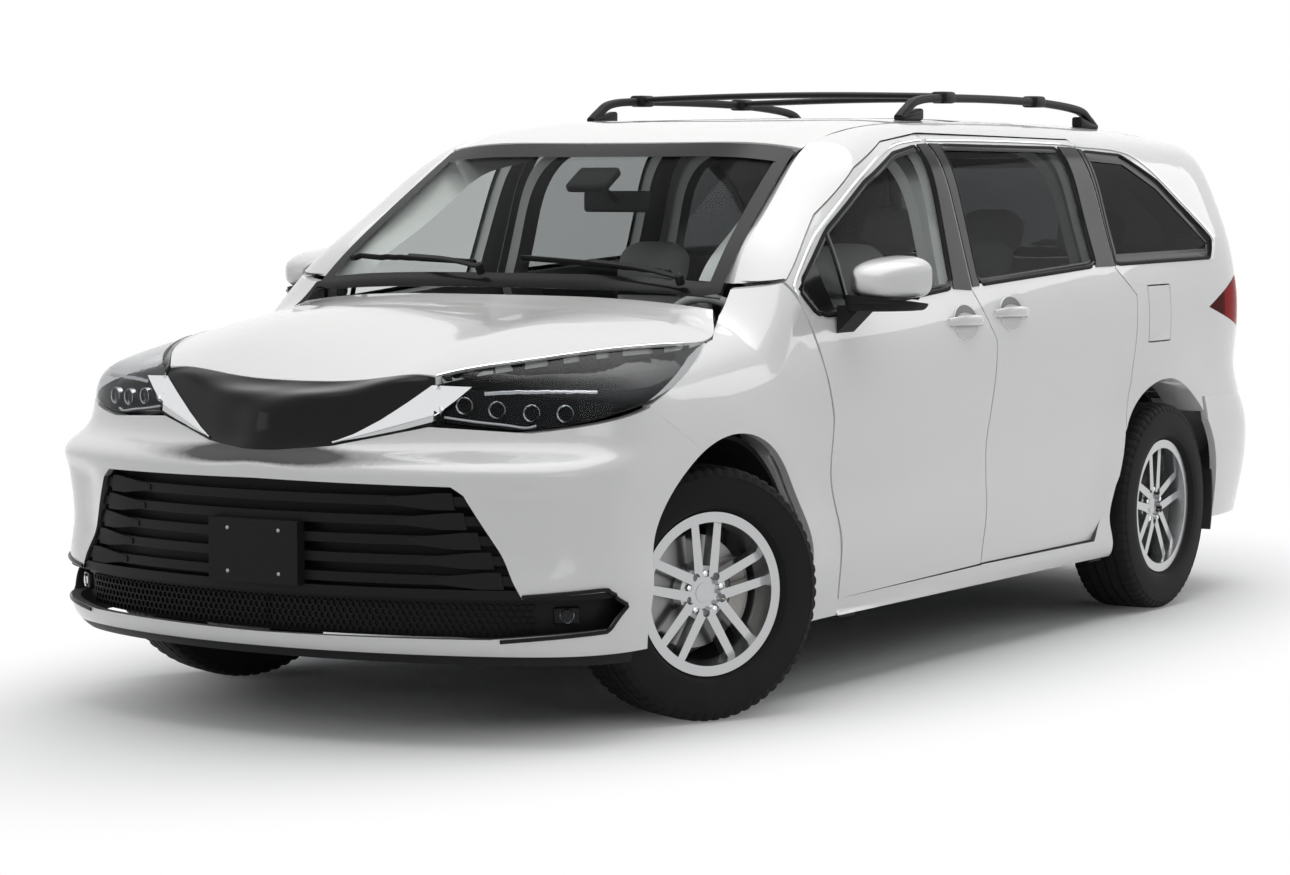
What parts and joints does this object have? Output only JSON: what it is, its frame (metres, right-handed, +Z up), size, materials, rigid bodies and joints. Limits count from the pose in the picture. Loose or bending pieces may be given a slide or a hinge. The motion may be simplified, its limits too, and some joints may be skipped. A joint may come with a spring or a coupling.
{
  "type": "minivan",
  "caption": "White seven-seat minivan with opening bonnet, front doors, tailgate and fuel lid, steered front wheels, and four turning wheels.",
  "frame": {"origin": "on the ground under the middle of the vehicle", "axes": "+X forward, +Y to the vehicle's left, +Z up"},
  "size_m": [5.1668, 2.3546, 1.8345],
  "materials": {
    "body_paint": "gloss pearl",
    "black_plastic": "satin",
    "black_satin": "satin",
    "trim_plastic": "matte grain",
    "clear_glass": "clear",
    "dark_glass": "dark tint",
    "lamp_lens": "clear",
    "red_lens": "clear",
    "leather": "fine grain",
    "steel_primer": "coated",
    "chassis_black": "coated",
    "cast_iron": "machined and rough",
    "aluminium": "cast",
    "alloy_wheel": "painted silver",
    "rubber": "matte"
  },
  "bodies": {
    "body_shell": {"body_sides": "body_paint", "roof_panel": "body_paint", "sliding_doors": "body_paint", "side_glass": "dark_glass", "front_fenders": "body_paint", "front_bumper": "body_paint", "front_grille": "black_plastic", "front_lip": "black_plastic", "upper_front_panel": "black_plastic", "headlamps": "lamp_lens", "windscreen": "clear_glass", "cowl_panel": "black_plastic", "roof_rack": "black_satin", "rear_bumper": "body_paint", "tail_lamps": "red_lens", "floor_pan": "steel_primer", "front_wheelhouses": "black_plastic", "front_suspension": "chassis_black", "rear_axle": "chassis_black", "underbody": "chassis_black", "engine_and_cooling": "aluminium", "dashboard": "trim_plastic", "steering_wheel": "leather", "front_seats": "leather", "rear_seats": "leather"},
    "hood": {"hood": "body_paint"},
    "front_door_left": {"front_door_left": "body_paint", "front_door_glass_left": "clear_glass", "door_mirror_left": "body_paint"},
    "front_door_right": {"front_door_right": "body_paint", "front_door_glass_right": "clear_glass", "door_mirror_right": "body_paint"},
    "tailgate": {"tailgate": "body_paint", "tailgate_glass": "dark_glass"},
    "fuel_lid": {"fuel_lid": "body_paint"},
    "knuckle_left": {"knuckle_left": "cast_iron"},
    "knuckle_right": {"knuckle_right": "cast_iron"},
    "front_wheel_left": {"front_rim_left": "alloy_wheel", "front_tyre_left": "rubber"},
    "front_wheel_right": {"front_rim_right": "alloy_wheel", "front_tyre_right": "rubber"},
    "rear_wheel_left": {"rear_rim_left": "alloy_wheel", "rear_tyre_left": "rubber"},
    "rear_wheel_right": {"rear_rim_right": "alloy_wheel", "rear_tyre_right": "rubber"}
  },
  "joints": [
    {"name": "hood_hinge", "type": "hinge", "parent": "body_shell", "child": "hood", "pos_m": [1.375, 0, 1.198], "axis": [0, -1, 0], "range_deg": [0, 50]},
    {"name": "front_door_left_hinge", "type": "hinge", "parent": "body_shell", "child": "front_door_left", "pos_m": [1.085, 0.972, 0.7], "axis": [0, 0, -1], "range_deg": [0, 65]},
    {"name": "front_door_right_hinge", "type": "hinge", "parent": "body_shell", "child": "front_door_right", "pos_m": [1.085, -0.972, 0.7], "axis": [0, 0, 1], "range_deg": [0, 65]},
    {"name": "tailgate_hinge", "type": "hinge", "parent": "body_shell", "child": "tailgate", "pos_m": [-2.045, 0, 1.682], "axis": [0, 1, 0], "range_deg": [0, 80]},
    {"name": "fuel_lid_hinge", "type": "hinge", "parent": "body_shell", "child": "fuel_lid", "pos_m": [-1.28, 0.99, 1.06], "axis": [0, 0, -1], "range_deg": [0, 100]},
    {"name": "steering_left", "type": "hinge", "parent": "body_shell", "child": "knuckle_left", "pos_m": [1.599, 0.8, 0.3685], "axis": [0, 0, 1], "range_deg": [-9, 61]},
    {"name": "steering_right", "type": "hinge", "parent": "body_shell", "child": "knuckle_right", "pos_m": [1.599, -0.8, 0.3685], "axis": [0, 0, 1], "range_deg": [-9, 61]},
    {"name": "front_wheel_left_spin", "type": "hinge", "parent": "knuckle_left", "child": "front_wheel_left", "pos_m": [1.62618, 0.85573, 0.3685], "axis": [0.4384, 0.8988, 0], "continuous": true},
    {"name": "front_wheel_right_spin", "type": "hinge", "parent": "knuckle_right", "child": "front_wheel_right", "pos_m": [1.57182, -0.85573, 0.3685], "axis": [0.4384, 0.8988, 0], "continuous": true},
    {"name": "rear_wheel_left_spin", "type": "hinge", "parent": "body_shell", "child": "rear_wheel_left", "pos_m": [-1.461, 0.862, 0.3685], "axis": [0, 1, 0], "continuous": true},
    {"name": "rear_wheel_right_spin", "type": "hinge", "parent": "body_shell", "child": "rear_wheel_right", "pos_m": [-1.461, -0.862, 0.3685], "axis": [0, 1, 0], "continuous": true}
  ],
  "couplings": [
    {"joint": "steering_right", "follows": "steering_left", "ratio": 1}
  ]
}
